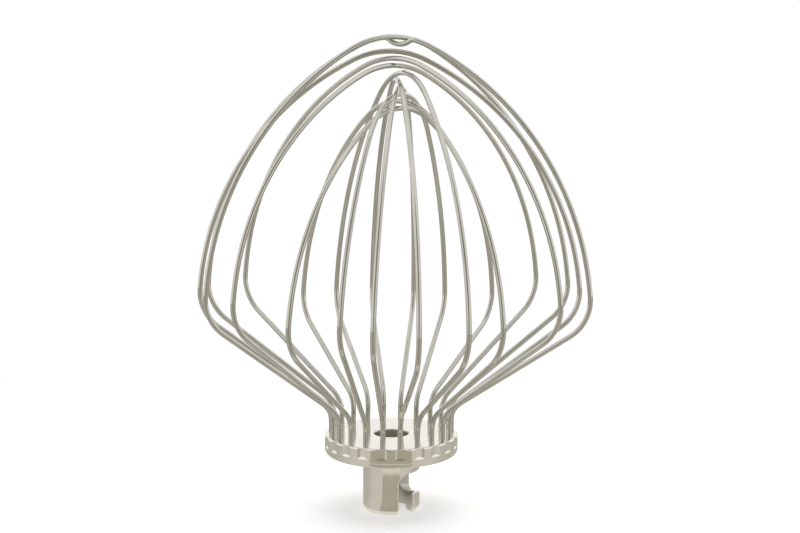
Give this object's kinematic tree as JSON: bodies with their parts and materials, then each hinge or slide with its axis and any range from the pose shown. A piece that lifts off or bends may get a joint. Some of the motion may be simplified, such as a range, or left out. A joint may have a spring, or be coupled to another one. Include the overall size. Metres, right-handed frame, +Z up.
{
  "type": "stand mixer wire whisk",
  "caption": "Balloon wire whisk for a stand mixer: bent wire loops of two sizes staked into the rim of a round hub plate, whose bored stub has a bayonet slot for the mixer's shaft pin.",
  "frame": {"origin": "centre of the hub's lower end, on the bore's axis, where the whisk stands", "axes": "+Z up along the bore towards the crown of the cage, -Y towards the mouth of the bayonet slot"},
  "size_m": [0.1371, 0.1292, 0.1787],
  "materials": {
    "hub_steel": "cast stainless steel, polished, warm grey",
    "wire_steel": "drawn stainless steel wire, bright"
  },
  "bodies": {
    "root": {"hub": "hub_steel", "outer_wire_1": "wire_steel", "outer_wire_2": "wire_steel", "outer_wire_3": "wire_steel", "outer_wire_4": "wire_steel", "outer_wire_5": "wire_steel", "inner_wire_1": "wire_steel", "inner_wire_2": "wire_steel", "inner_wire_3": "wire_steel", "inner_wire_4": "wire_steel", "inner_wire_5": "wire_steel", "inner_wire_6": "wire_steel"}
  },
  "joints": []
}
